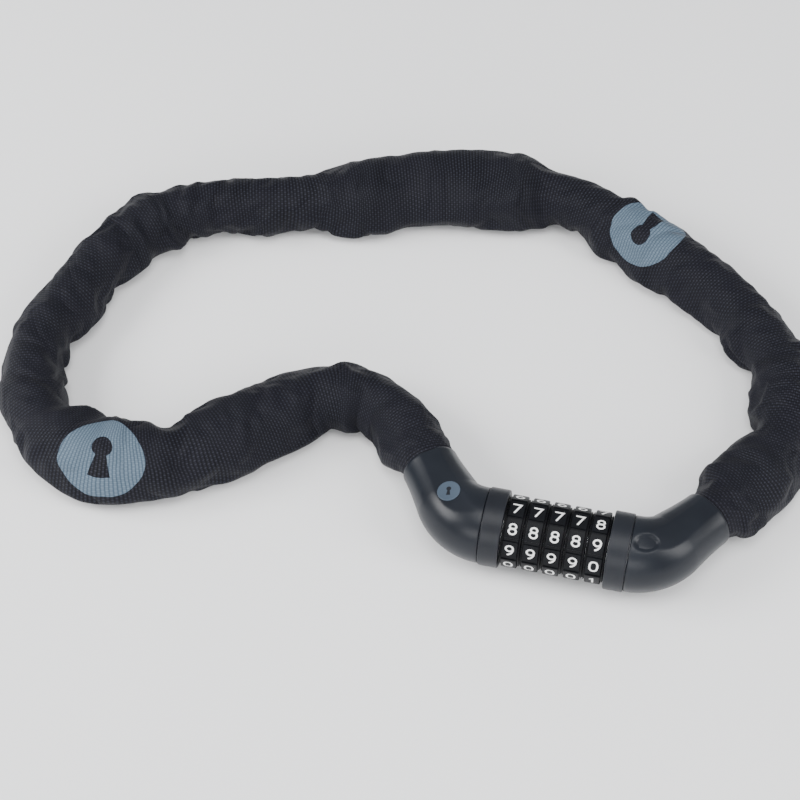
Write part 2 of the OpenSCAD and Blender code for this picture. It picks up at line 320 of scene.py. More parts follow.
# ---------------------------------------------------------------- cloth
MOVE_CAP = 3.5 * MM
PROXY_R = 9.3  # radius of the smooth core that stands for the chain, in mm


def pin_group(obj, rows):
    """Holds the rings at both ends of a length, and half holds the next two."""
    group = obj.vertex_groups.new(name="pin")
    for v in range(rows * AROUND):
        row = v // AROUND
        near = min(row, rows - 1 - row)
        weight = 1.0 if near < 2 else (0.6 if near < 4 else 0.0)
        if weight:
            group.add([v], weight, "REPLACE")


def collider(obj):
    obj.modifiers.new("collision", "COLLISION")
    obj.collision.thickness_outer = 0.0006
    obj.collision.damping = 0.6
    obj.collision.cloth_friction = 20


def chain_proxy():
    """A smooth core where the chain lies, for the fabric to fall against."""
    rows = int(SLEEVE_LENGTH / 5)
    n = 16
    points = []
    for k in range(rows):
        s = SLEEVE_LENGTH * k / (rows - 1)
        centre, d = line_at(s), line_dir(s)
        z = mix(MOUTH_Z, TUBE_Z, float(smooth(min(s, SLEEVE_LENGTH - s) / FLARE)))
        for j in range(n):
            q = 2 * math.pi * j / n
            side = PROXY_R * math.cos(q)
            p = centre + np.array([-d[1], d[0]]) * side
            points.append(to_row((p[0], p[1], z + PROXY_R * math.sin(q))))
    return new_object("chain_proxy", points, grid_faces(rows, n))


def simulate(obj, rows, frames=14):
    """Adds slack: the fabric grows, buckles and sags for a few frames, and no point may end
    further than MOVE_CAP from where it was drawn. Returns the longest move before that cap."""
    before = np.array([v.co for v in obj.data.vertices])
    pin_group(obj, rows)
    cloth = obj.modifiers.new("cloth", "CLOTH")
    c = cloth.settings
    c.quality = 6
    c.mass = 0.25
    c.tension_stiffness = c.compression_stiffness = 18
    c.shear_stiffness = 6
    c.bending_stiffness = 0.25
    c.air_damping = 3
    c.vertex_group_mass = "pin"
    c.shrink_min = -0.10
    c.use_pressure = True
    c.uniform_pressure_force = 1.2
    cloth.collision_settings.distance_min = 0.0006
    cloth.collision_settings.use_self_collision = False
    cloth.point_cache.frame_start = 1
    cloth.point_cache.frame_end = frames
    scene = bpy.context.scene
    for f in range(1, frames + 1):
        scene.frame_set(f)
    apply_modifiers(obj)
    scene.frame_set(1)
    after = np.array([v.co for v in obj.data.vertices])
    move = after - before
    length = np.linalg.norm(move, axis=1)
    scale = np.where(length > MOVE_CAP, MOVE_CAP / np.maximum(length, 1e-9), 1.0)
    after = before + move * scale[:, None]
    after[:, 2] = np.maximum(after[:, 2], 0.3 * MM)
    obj.data.vertices.foreach_set("co", after.ravel())
    obj.data.update()
    return float(length.max() / MM)


def make_sleeves():
    first, first_places = sleeve_grid(-TUCK_IN, SEAM_S, "sleeve_body_side")
    second, second_places = sleeve_grid(SEAM_S, SLEEVE_LENGTH + TUCK_IN, "sleeve_plug_side")
    proxy = chain_proxy()
    table = new_object("table_proxy", [(-.4, -.4, 0), (.4, -.4, 0), (.4, .4, 0), (-.4, .4, 0)],
                       [(0, 1, 2, 3)])
    collider(proxy)
    collider(table)
    for piece, places in ((first, first_places), (second, second_places)):
        moved = simulate(piece, len(places))
        print("cloth moved", piece.name, round(moved, 2))
    for helper in (proxy, table):
        bpy.data.objects.remove(helper)
    for piece in (first, second):
        subdivide(piece)
        piece.data.polygons.foreach_set("use_smooth", [True] * len(piece.data.polygons))
    return first, second


sleeve_first, sleeve_second = make_sleeves()


BLEND_START = to_row((-190, 119, TUBE_Z))
BLEND_DIR = Vector((0.85, -0.53, 0)).normalized()
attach(sleeve_first, "lock_body")
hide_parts("sleeve")
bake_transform(sleeve_second)
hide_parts("sleeve")


# ---------------------------------------------------------------- materials
def material(name):
    m = bpy.data.materials.new(name)
    m.use_nodes = True
    nodes = m.node_tree.nodes
    links = m.node_tree.links
    return m, nodes, links, nodes["Principled BSDF"]


def node(nodes, kind, **values):
    """A shader node, with properties set by name and inputs by in_NAME."""
    n = nodes.new(kind)
    for key, value in values.items():
        if key.startswith("in_"):
            n.inputs[key[3:].replace("_", " ")].default_value = value
        else:
            setattr(n, key, value)
    return n


def maths(nodes, links, operation, a, b=None, c=None):
    """A maths node's result; each operand is a number or another node's socket."""
    n = nodes.new("ShaderNodeMath")
    n.operation = operation
    for k, value in enumerate((a, b, c)):
        if value is None:
            continue
        if isinstance(value, (int, float)):
            n.inputs[k].default_value = value
        else:
            links.new(value, n.inputs[k])
    return n.outputs[0]


def ramp(nodes, links, value, stops):
    r = nodes.new("ShaderNodeValToRGB")
    links.new(value, r.inputs[0])
    r.color_ramp.elements[0].position, r.color_ramp.elements[0].color = stops[0][0], (*stops[0][1], 1)
    r.color_ramp.elements[1].position, r.color_ramp.elements[1].color = stops[-1][0], (*stops[-1][1], 1)
    for position, colour in stops[1:-1]:
        e = r.color_ramp.elements.new(position)
        e.color = (*colour, 1)
    return r.outputs[0]


def mix_colour(nodes, links, factor, a, b):
    m = nodes.new("ShaderNodeMix")
    m.data_type = "RGBA"
    for socket, value in ((m.inputs["Factor"], factor), (m.inputs["A"], a), (m.inputs["B"], b)):
        if isinstance(value, (tuple, float, int)):
            socket.default_value = (*value, 1) if isinstance(value, tuple) else value
        else:
            links.new(value, socket)
    return m.outputs["Result"]


# Printed patches on the sleeve: (distance from the left mouth, distance inward from the
# sleeve's top, radius), in mm
GIRTH = 2 * math.pi * 14.3
PATCHES = [(162, -6.5, 16.5), (564, 3.0, 16.5)]
PATCH_SHAPE = 0.85  # width over length, as the fabric lies stretched round the chain
THREADS = (1.3, 0.95)  # pitch of the weave along the sleeve and round it, mm


def folds(nodes, links, split):
    """Slack in the fabric: shallow folds that run slantwise round the sleeve."""
    turn = maths(nodes, links, "MULTIPLY", split.outputs[1], 2 * math.pi / (GIRTH * MM))
    slant = maths(nodes, links, "MULTIPLY", maths(nodes, links, "SINE", turn), 0.006)
    place = nodes.new("ShaderNodeCombineXYZ")
    links.new(maths(nodes, links, "ADD", split.outputs[0], slant), place.inputs[0])
    links.new(maths(nodes, links, "MULTIPLY", maths(nodes, links, "SINE", turn), 0.007), place.inputs[1])
    links.new(maths(nodes, links, "MULTIPLY", maths(nodes, links, "COSINE", turn), 0.007), place.inputs[2])
    slow = node(nodes, "ShaderNodeTexNoise", in_Scale=62.0, in_Detail=1.5, in_Roughness=0.45)
    links.new(place.outputs[0], slow.inputs["Vector"])
    ridge = maths(nodes, links, "ABSOLUTE", maths(nodes, links, "SUBTRACT", slow.outputs["Fac"], 0.5))
    return maths(nodes, links, "MINIMUM", maths(nodes, links, "MULTIPLY", ridge, 3.0), 1.0)


def woven_nylon():
    m, nodes, links, shader = material("woven_nylon")
    uv = node(nodes, "ShaderNodeUVMap", uv_map="weave")
    split = nodes.new("ShaderNodeSeparateXYZ")
    links.new(uv.outputs[0], split.inputs[0])
    wave = []
    for k, pitch in enumerate(THREADS):
        turn = maths(nodes, links, "MULTIPLY", split.outputs[k], math.pi / (pitch * MM))
        s = maths(nodes, links, "SINE", turn)
        wave.append(s)
    beads = maths(nodes, links, "MULTIPLY_ADD", maths(nodes, links, "ABSOLUTE", wave[1]), 0.6, 0.4)
    domes = maths(nodes, links, "MULTIPLY", maths(nodes, links, "ABSOLUTE", wave[0]), beads)
    over = maths(nodes, links, "MULTIPLY", wave[0], wave[1])
    sign = maths(nodes, links, "MULTIPLY_ADD", maths(nodes, links, "SIGN", over), 0.12, 0.88)
    height = maths(nodes, links, "MULTIPLY", maths(nodes, links, "POWER", domes, 0.7), sign)
    place = node(nodes, "ShaderNodeTexCoord")
    cloud = node(nodes, "ShaderNodeTexNoise", in_Scale=60.0, in_Detail=3.0)
    links.new(place.outputs["Object"], cloud.inputs["Vector"])
    fibre = node(nodes, "ShaderNodeTexNoise", in_Scale=2600.0, in_Detail=2.0)
    links.new(place.outputs["Object"], fibre.inputs["Vector"])
    # The threads' colour follows the weave's height: painted shade in the gaps between threads, painted
    # highlight on the bead tops.
    weave_painted_shade_and_highlight = ramp(nodes, links, height, [(0.2, (.0004, .0005, .0008)), (0.55, (.0040, .0044, .0072)),
                                         (0.95, (.027, .0295, .040))])
    # A slow random drift of tone, mixed over the weave's painted shade and highlight.
    weave_painted_shade_with_drift = mix_colour(nodes, links, maths(nodes, links, "MULTIPLY", cloud.outputs["Fac"], 0.5),
                      weave_painted_shade_and_highlight, (.010, .009, .016))
    # the printed patches, each a disc with a keyhole left dark
    printed = None
    for s, q, r in PATCHES:
        dx = maths(nodes, links, "SUBTRACT", split.outputs[0], s * MM)
        dy = maths(nodes, links, "SUBTRACT", split.outputs[1], q * MM)
        dy = maths(nodes, links, "MULTIPLY", dy, PATCH_SHAPE)
        far = maths(nodes, links, "SQRT", maths(nodes, links, "ADD",
                    maths(nodes, links, "MULTIPLY", dx, dx), maths(nodes, links, "MULTIPLY", dy, dy)))
        disc = maths(nodes, links, "LESS_THAN", far, r * MM)
        up = maths(nodes, links, "SUBTRACT", dy, 4 * MM)
        near = maths(nodes, links, "ADD", maths(nodes, links, "MULTIPLY", dx, dx),
                     maths(nodes, links, "MULTIPLY", up, up))
        eye = maths(nodes, links, "LESS_THAN", maths(nodes, links, "SQRT", near), 4.2 * MM)
        wide = maths(nodes, links, "MULTIPLY_ADD", dy, -0.2, 2.2 * MM)
        slot = maths(nodes, links, "LESS_THAN", maths(nodes, links, "ABSOLUTE", dx), wide)
        low = maths(nodes, links, "GREATER_THAN", dy, -8.5 * MM)
        high = maths(nodes, links, "LESS_THAN", dy, 3 * MM)
        slot = maths(nodes, links, "MULTIPLY", slot, maths(nodes, links, "MULTIPLY", low, high))
        hole = maths(nodes, links, "MAXIMUM", eye, slot)
        mark = maths(nodes, links, "MULTIPLY", disc, maths(nodes, links, "SUBTRACT", 1.0, hole))
        printed = mark if printed is None else maths(nodes, links, "MAXIMUM", printed, mark)
    # The print's grey-blue also follows the weave's height: painted shade in the gaps, painted highlight on
    # the bead tops.
    print_painted_shade_and_highlight = ramp(nodes, links, height, [(0.1, (.045, .070, .10)), (0.9, (.135, .185, .24))])
    solid = maths(nodes, links, "MULTIPLY", printed, 0.93)
    links.new(mix_colour(nodes, links, solid, weave_painted_shade_with_drift, print_painted_shade_and_highlight), shader.inputs["Base Color"])
    rough = maths(nodes, links, "MULTIPLY_ADD", fibre.outputs["Fac"], 0.2, 0.5)
    links.new(rough, shader.inputs["Roughness"])
    shader.inputs["Sheen Weight"].default_value = 0.02
    shader.inputs["Sheen Roughness"].default_value = 0.4
    shader.inputs["Specular IOR Level"].default_value = 0.12
    slack = folds(nodes, links, split)
    cloth_fold = node(nodes, "ShaderNodeBump", in_Strength=1.0, in_Distance=0.0032)
    links.new(slack, cloth_fold.inputs["Height"])
    relief = maths(nodes, links, "ADD", height, maths(nodes, links, "MULTIPLY", fibre.outputs["Fac"], 0.25))
    bump = node(nodes, "ShaderNodeBump", in_Strength=0.8, in_Distance=0.00022)
    links.new(relief, bump.inputs["Height"])
    links.new(cloth_fold.outputs[0], bump.inputs["Normal"])
    links.new(bump.outputs[0], shader.inputs["Normal"])
    return m


def moulded_plastic(name, dark, light, roughness, grain=0.00003, shine=0.3):
    """Moulded plastic: a fine texture, slight colour drift, and soft wear in its gloss."""
    m, nodes, links, shader = material(name)
    place = node(nodes, "ShaderNodeTexCoord")
    drift = node(nodes, "ShaderNodeTexNoise", in_Scale=45.0, in_Detail=4.0)
    fine = node(nodes, "ShaderNodeTexNoise", in_Scale=3200.0, in_Detail=2.0)
    for t in (drift, fine):
        links.new(place.outputs["Object"], t.inputs["Vector"])
    links.new(ramp(nodes, links, drift.outputs["Fac"], [(0.35, dark), (0.7, light)]),
              shader.inputs["Base Color"])
    rough = maths(nodes, links, "MULTIPLY_ADD", drift.outputs["Fac"], 0.14, roughness - 0.07)
    links.new(rough, shader.inputs["Roughness"])
    bump = node(nodes, "ShaderNodeBump", in_Strength=0.35, in_Distance=grain)
    links.new(fine.outputs["Fac"], bump.inputs["Height"])
    links.new(bump.outputs[0], shader.inputs["Normal"])
    shader.inputs["IOR"].default_value = 1.5
    shader.inputs["Specular IOR Level"].default_value = shine
    return m


def turned_metal(name, colour, roughness, scale=(900.0, 40.0, 40.0)):
    """Machined metal: fine tool marks round the part's axis, with duller patches."""
    m, nodes, links, shader = material(name)
    place = node(nodes, "ShaderNodeTexCoord")
    stretch = node(nodes, "ShaderNodeMapping", in_Scale=scale)
    links.new(place.outputs["Object"], stretch.inputs["Vector"])
    marks = node(nodes, "ShaderNodeTexNoise", in_Scale=3.0, in_Detail=3.0)
    links.new(stretch.outputs[0], marks.inputs["Vector"])
    cloud = node(nodes, "ShaderNodeTexNoise", in_Scale=70.0, in_Detail=3.0)
    links.new(place.outputs["Object"], cloud.inputs["Vector"])
    dull = tuple(0.62 * c for c in colour)
    links.new(ramp(nodes, links, cloud.outputs["Fac"], [(0.3, dull), (0.65, colour)]),
              shader.inputs["Base Color"])
    rough = maths(nodes, links, "MULTIPLY_ADD", marks.outputs["Fac"], 0.25, roughness - 0.12)
    links.new(rough, shader.inputs["Roughness"])
    shader.inputs["Metallic"].default_value = 1.0
    bump = node(nodes, "ShaderNodeBump", in_Strength=0.25, in_Distance=0.00003)
    links.new(marks.outputs["Fac"], bump.inputs["Height"])
    links.new(bump.outputs[0], shader.inputs["Normal"])
    return m


WEAVE = woven_nylon()
ELBOW = moulded_plastic("elbow_plastic_look", (.0055, .0072, .0115), (.0085, .011, .0165), 0.34)
COLLAR = moulded_plastic("collar_plastic_look", (.006, .0072, .011), (.009, .011, .016), 0.42)
WHEEL = moulded_plastic("wheel_plastic_look", (.0022, .0025, .0036), (.0042, .0048, .0065), 0.44,
                        0.00002, 0.14)
PAINT = moulded_plastic("numeral_paint", (.80, .80, .79), (.90, .90, .89), 0.45, 0.00002)
BADGE = moulded_plastic("badge_print", (.042, .060, .085), (.058, .080, .11), 0.42, 0.00002)
STEEL = turned_metal("core_steel", (.42, .43, .45), 0.42)
BRIGHT = turned_metal("bright_steel", (.62, .63, .65), 0.28)
BRASS = turned_metal("ring_brass", (.62, .47, .22), 0.3)
ZINC = turned_metal("chain_zinc", (.50, .51, .53), 0.4, (120.0, 120.0, 120.0))

for piece in (sleeve_first, sleeve_second):
    piece.data.materials.clear()
    piece.data.materials.append(WEAVE)


def paint_node(names, look):
    for name in names:
        mesh = frame["nodes"][name].data
        mesh.materials.clear()
        mesh.materials.append(look)


paint_node(["body_core", "plug_core"], STEEL)
paint_node(["barrel", "barrel_pin", "bolt_pin", "lock_bolt", "retaining_ring", "wave_washer",
            "click_spring", "body_chain_pin", "plug_chain_pin"], BRIGHT)
paint_node([f"code_ring_{i}" for i in range(1, WHEELS + 1)], BRASS)


# ---------------------------------------------------------------- chain links
LINKS = 31


def bend_links():
    """Paints the links zinc; from the tenth on, save the last, those past BLEND_START get unchanged copies
    in place, and their CAD parts are hidden.
    """
    for k in range(1, LINKS + 1):
        name = f"chain_link_{k:02d}"
        link = frame["nodes"][name]
        paint_node([name], ZINC)
        low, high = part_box(name)
        along = ((low + high) / 2 - BLEND_START).dot(BLEND_DIR)
        if k < 10 or k == LINKS or along < -0.01:
            continue
        copy = bpy.data.objects.new(f"bent_link_{k:02d}", link.data.copy())
        bpy.context.scene.collection.objects.link(copy)
        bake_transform(copy)
        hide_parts(name)


bend_links()


# ---------------------------------------------------------------- elbows
ELBOW_TURN = math.radians(54)
ELBOW_BEND = 20.0
ELBOW_STRAIGHT = 20.6
ELBOW_LENGTH = ELBOW_BEND * ELBOW_TURN + ELBOW_STRAIGHT
ELBOW_ROOT_R = 15.5
ELBOW_MOUTH_R = 12.0
ELBOW_WALL = 1.1


def elbow_frame(t):
    """Middle and outward side of the elbow at t, in mm, for the plug's side."""
    arc = ELBOW_BEND * ELBOW_TURN
    q = min(ELBOW_TURN, t * ELBOW_LENGTH / ELBOW_BEND)
    run = max(0.0, t * ELBOW_LENGTH - arc)
    x = COLLAR_OUT / MM + ELBOW_BEND * math.sin(q) + run * math.cos(q)
    y = ELBOW_BEND * (1 - math.cos(q)) + run * math.sin(q)
    z = mix(LOCK.z / MM, MOUTH_Z, t * t)
    return np.array([x, y, z]), np.array([math.sin(q), -math.cos(q), 0.0])


FACE_REACH = 0.3   # cosine of the angle from the face's middle where it stops
FACE_EDGE = 0.45   # softness of its edge, mm
FACE_DEPTH = 0.94  # how near the middle line the elbow's top face lies, against its radius


def elbow_facing(t):
    """Angle round the elbow that its flattened top face points at."""
    return math.radians(mix(74, 88, t))


def elbow_radius(t, q):
    """Radius at t; q runs from the outer side (0) over the top (90 degrees) to the inner side."""
    r = mix(ELBOW_ROOT_R, ELBOW_MOUTH_R, float(smooth(t)))
    facing = elbow_facing(t)
    near = math.cos(q - facing)
    depth = mix(1.0, FACE_DEPTH, float(smooth((t - 0.04) / 0.3)))
    if near > FACE_REACH:
        flat = r * depth / near
        k = FACE_EDGE
        edge = k * math.log(2) * math.exp(-abs(r - flat) / k)
        r = edge - k * math.log(math.exp(-r / k) + math.exp(-flat / k))
        r = min(r, flat + k)
    return r


DIMPLE_T = 0.13
DIMPLE_Q = math.radians(74)


def dimple(t, q):
    """The thumb dimple beside the plug's collar: an oval hollow, in mm."""
    along = (t - DIMPLE_T) * ELBOW_LENGTH / 4.8
    across = (q - DIMPLE_Q) * 15.0 / 4.0
    far = math.hypot(along, across)
    return -1.3 * float(smooth((1.0 - far) / 0.4))


def elbow_mesh(name, side, hollow):
    """side is 1 for the plug's elbow and -1 for the body's; hollow is an extra relief."""
    rows, n = 84, 120
    points = []

    def ring(t, inset):
        centre, out = elbow_frame(t)
        for j in range(n):
            q = 2 * math.pi * j / n
            r = elbow_radius(t, q) - inset
            if hollow and inset == 0:
                r += hollow(t, q if q < math.pi else q - 2 * math.pi)
            p = centre + out * r * math.cos(q) + np.array([0, 0, r * math.sin(q)])
            points.append(to_row((side * p[0], p[1], p[2])))

    inner_rows = 14
    plan = [(0.0, 0.9), (0.0, 0.35), (0.004, 0.1)]
    plan += [(0.014 + (0.976 - 0.014) * k / rows, 0.0) for k in range(rows + 1)]
    plan += [(0.988, 0.06), (0.997, 0.28), (1.0, 0.55), (0.997, 0.82), (0.988, ELBOW_WALL)]
    plan += [(0.97 - 0.9 * k / inner_rows, ELBOW_WALL) for k in range(inner_rows + 1)]
    for t, inset in plan:
        ring(t, inset)
    obj = new_object(name, points, grid_faces(len(plan), n))
    fix_normals(obj)
    obj.data.materials.append(ELBOW)
    return obj


body_elbow = elbow_mesh("body_elbow", -1, None)
plug_elbow = elbow_mesh("plug_elbow", 1, dimple)
for piece, body, cad in ((body_elbow, "lock_body", "body_elbow_shell"),
                         (plug_elbow, "plug", "plug_elbow_shell")):
    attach(piece, body)
    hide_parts(cad)


# ---------------------------------------------------------------- elbow badge
BADGE_T = 0.4
BADGE_R = 4.75
KEYHOLE_TURN = -38  # turns the badge's keyhole, in degrees


def skin(side, t, q, lift=0.0):
    """A point on an elbow's skin."""
    centre, out = elbow_frame(t)
    r = elbow_radius(t, q) + lift
    p = centre + out * r * math.cos(q) + np.array([0, 0, r * math.sin(q)])
    return to_row((side * p[0], p[1], p[2]))


def badge_plane():
    """The badge's middle, and directions along the elbow, across it and out of it."""
    q = elbow_facing(BADGE_T)
    middle = skin(-1, BADGE_T, q)
    along = (skin(-1, BADGE_T + 0.02, q) - skin(-1, BADGE_T - 0.02, q)).normalized()
    across = skin(-1, BADGE_T, q + 0.05) - skin(-1, BADGE_T, q - 0.05)
    out = along.cross(across).normalized()
    if out.z < 0:
        out = -out
    return middle, along, out.cross(along), out


BADGE_PLANE = badge_plane()


def on_badge(along, across, lift):
    """A point on the badge's plane, in mm from its middle."""
    middle, a, b, out = BADGE_PLANE
    return middle + (a * along + b * across + out * lift) * MM


def badge_mesh():
    """A thin disc set in the elbow's top face, with a rounded rim."""
    n = 64
    top = 0.28
    plan = [(0.0, top)] + [(BADGE_R * k / 8, top) for k in range(1, 8)]
    plan += [(BADGE_R - 0.15, top), (BADGE_R - 0.04, top - 0.05), (BADGE_R, top - 0.14), (BADGE_R, -0.6)]
    points, faces = [on_badge(0, 0, top)], []
    for r, lift in plan[1:]:
        for j in range(n):
            q = 2 * math.pi * j / n
            points.append(on_badge(r * math.cos(q), r * math.sin(q), lift))
    faces += [(0, 1 + j, 1 + (j + 1) % n) for j in range(n)]
    faces += [tuple(1 + v for v in f) for f in grid_faces(len(plan) - 1, n)]
    obj = new_object("elbow_badge", points, faces)
    fix_normals(obj)
    obj.data.materials.append(BADGE)
    return obj


def keyhole_mesh():
    """The badge's keyhole: a round eye over a flared slot, standing just proud of the disc."""
    outline = [(1.0 * math.cos(a), 1.0 + 1.0 * math.sin(a))
               for a in np.linspace(math.radians(-60), math.radians(240), 26)]
    outline += [(-0.85, -2.1), (0.85, -2.1)]
    lift = 0.31
    turn = math.radians(KEYHOLE_TURN)
    count = len(outline)
    outline += [(0, 0.9), (0, -1.0)]
    points = [on_badge(y * math.cos(turn) - x * math.sin(turn),
                       y * math.sin(turn) + x * math.cos(turn), lift) for x, y in outline]
    faces = [(count, k, k + 1) for k in range(25)]
    faces += [(count, 25, count + 1), (count + 1, 25, 26), (count + 1, 26, 27),
              (count + 1, 27, 0), (count, count + 1, 0)]
    obj = new_object("badge_keyhole", points, faces)
    fix_normals(obj)
    obj.data.materials.append(COLLAR)
    return obj


badge = badge_mesh()
keyhole = keyhole_mesh()
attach(badge, "lock_body")
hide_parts("body_badge")
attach(keyhole, "lock_body")


# ---------------------------------------------------------------- turned parts about the axis
def lathe(name, profile, n=128):
    """A ring turned about the lock's axis; profile is a closed list of (x, r) in mm."""
    points = []
    for x, r in profile:
        for j in range(n):
            q = 2 * math.pi * j / n
            points.append(Vector((LOCK.x + x * MM, LOCK.y + r * math.cos(q) * MM,
                                  LOCK.z + r * math.sin(q) * MM)))
    faces = grid_faces(len(profile), n)
    last = (len(profile) - 1) * n
    faces += [(last + j, last + (j + 1) % n, (j + 1) % n, j) for j in range(n)]
    obj = new_object(name, points, faces)
    fix_normals(obj)
    return obj


def rounded(x0, x1, r, inner, fillet):
    """Profile of a collar with rounded outer edges."""
    turn = [math.radians(a) for a in (0, 15, 30, 45, 60, 75, 90)]
    edge0 = [(x0 + fillet * (1 - math.sin(a)), r - fillet * (1 - math.cos(a))) for a in turn[::-1]]
    edge1 = [(x1 - fillet * (1 - math.sin(a)), r - fillet * (1 - math.cos(a))) for a in turn]
    soft = 0.08
    return ([(x0, inner + soft), (x0, r - fillet - soft)] + edge0 + [(x0 + fillet + soft, r)]
            + [(x1 - fillet - soft, r)] + edge1 + [(x1, r - fillet - soft), (x1, inner + soft),
               (x1 - soft, inner), (x0 + soft, inner)])


def collar_profile(side, x0, x1):
    """A collar's ring, with a lip on the wheels' side that hides the metal behind it."""
    lip, gap, inner, lip_inner = 0.3, 0.12, 14.42, 11.7
    if side > 0:
        ring = rounded(x0 - lip, x1 - gap, COLLAR_R / MM, inner, 0.6)
        return [(x0 - lip, lip_inner)] + ring[:-1] + [(x0 - 0.06, inner), (x0 - 0.06, lip_inner)]
    ring = rounded(x0 + gap, x1 + lip, COLLAR_R / MM, inner, 0.6)
    return ring[:-2] + [(x1 + lip, lip_inner), (x1 + 0.06, lip_inner), (x1 + 0.06, inner)] + ring[-1:]


def make_collars():
    for side, body, cad in ((-1, "lock_body", "body_collar"), (1, "plug", "plug_collar")):
        x0, x1 = COLLAR_IN / MM, COLLAR_OUT / MM
        if side < 0:
            x0, x1 = -x1, -x0
        ring = lathe(cad + "_ring", collar_profile(side, x0, x1))
        ring.data.materials.append(COLLAR)
        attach(ring, body)
        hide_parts(cad)


make_collars()


# ---------------------------------------------------------------- number wheels
PITCH = (WHEEL_X[1] - WHEEL_X[0]) / MM
PAD_R = 14.8
RIM_R = 13.0
PAD_HALF = 3.15
BORE_R = 11.06
DIGITS = 10
ROW_ANGLE = math.radians(180 - 58)  # the code row, from +Y over the top
PAD_STEP = 2 * math.pi / DIGITS
SHOWN = [8, 8, 8, 8, 9]


def pad_radius(q):
    """Radius over the pads: nearly flat pads with a shallow groove between them."""
    local = (q - ROW_ANGLE + PAD_STEP / 2) % PAD_STEP - PAD_STEP / 2
    flat = PAD_R * math.cos(PAD_STEP / 2) / math.cos(local)
    r = mix(flat, PAD_R, 0.45)
    edge = (PAD_STEP / 2 - abs(local)) * PAD_R
    return r - 0.75 * (1 - float(smooth((edge - 0.55) / 0.28)))


def wheel_mesh(i):
    half = (PITCH - 0.2) / 2
    n = 400
    section = [(-half, 0), (-half + 0.12, 0.1), (-3.95, 0.12), (-3.88, 0.62), (-3.62, 0.62), (-3.55, 0.1),
               (-PAD_HALF - 0.16, 0.1)]
    points, rows = [], []
    for x, rise in section:
        rows.append((x, lambda q, rise=rise: RIM_R + rise))
    for x, share in ((-PAD_HALF - 0.08, 0.35), (-PAD_HALF, 0.86), (-PAD_HALF + 0.14, 0.97),
                     (-PAD_HALF + 0.4, 1.0), (PAD_HALF - 0.4, 1.0), (PAD_HALF - 0.14, 0.97),
                     (PAD_HALF, 0.86), (PAD_HALF + 0.08, 0.35)):
        rows.append((x, lambda q, share=share: mix(RIM_R + 0.1, pad_radius(q), share)))
    for x, rise in section[::-1]:
        rows.append((-x, lambda q, rise=rise: RIM_R + rise))
    rows += [(half, lambda q: BORE_R), (-half, lambda q: BORE_R)]
    for x, radius in rows:
        for j in range(n):
            q = 2 * math.pi * j / n
            r = radius(q)
            points.append(Vector((WHEEL_X[i] + x * MM, LOCK.y + r * math.cos(q) * MM,
                                  LOCK.z + r * math.sin(q) * MM)))
    faces = grid_faces(len(rows), n)
    last = (len(rows) - 1) * n
    faces += [(last + j, last + (j + 1) % n, (j + 1) % n, j) for j in range(n)]
    obj = new_object(f"wheel_{i + 1}_body", points, faces)
    fix_normals(obj)
    obj.data.materials.append(WHEEL)
    edges = obj.modifiers.new("edges", "EDGE_SPLIT")
    edges.split_angle = math.radians(50)
    apply_modifiers(obj)
    return obj


def arc(cx, cy, r, a0, a1, squash=1.0, n=18):
    return [(cx + r * math.cos(math.radians(a)), cy + r * squash * math.sin(math.radians(a)))
            for a in np.linspace(a0, a1, n)]


def numeral(d):
    """The strokes of a digit, as (points, closed), in a box about 0.6 wide and 1 high."""
    if d == 0:
        return [([(0.27 * math.copysign(abs(math.cos(a)) ** 0.8, math.cos(a)),
                   0.42 * math.copysign(abs(math.sin(a)) ** 0.8, math.sin(a)))
                  for a in np.linspace(0, 2 * math.pi, 40, endpoint=False)], True)]
    if d == 1:
        return [([(-0.14, 0.27), (0.04, 0.42), (0.04, -0.42)], False)]
    if d == 2:
        return [(arc(0, 0.17, 0.25, 165, -40) + [(-0.27, -0.42), (0.28, -0.42)], False)]
    if d == 3:
        return [(arc(-0.02, 0.21, 0.21, 150, -80), False), (arc(-0.02, -0.18, 0.24, 80, -150), False)]
    if d == 4:
        return [([(0.12, -0.42), (0.12, 0.42), (-0.3, -0.15), (0.3, -0.15)], False)]
    if d == 5:
        return [([(0.24, 0.42), (-0.2, 0.42), (-0.24, 0.05)], False),
                (arc(-0.01, -0.16, 0.26, 140, -150), False)]
    if d == 6:
        return [(arc(0, -0.17, 0.25, 0, 360, n=30)[:-1], True),
                (arc(0.14, -0.13, 0.39, 176, 100, 1.42), False)]
    if d == 7:
        return [([(-0.27, 0.42), (0.26, 0.42), (-0.1, -0.42)], False)]
    if d == 8:
        return [(arc(0, 0.21, 0.22, 0, 360, 0.93, n=30)[:-1], True),
                (arc(0, -0.19, 0.25, 0, 360, 0.92, n=30)[:-1], True)]
    return [([(-x, -y) for x, y in points], closed) for points, closed in numeral(6)]


def fine_points(points, closed, longest=0.07):
    """The same line with no step longer than that, so that it can follow a curved pad."""
    fine = []
    ends = points[1:] + points[:1] if closed else points[1:]
    for a, b in zip(points, ends):
        steps = max(1, math.ceil(math.dist(a, b) / longest))
        fine += [(mix(a[0], b[0], k / steps), mix(a[1], b[1], k / steps)) for k in range(steps)]
    return fine if closed else fine + [points[-1]]


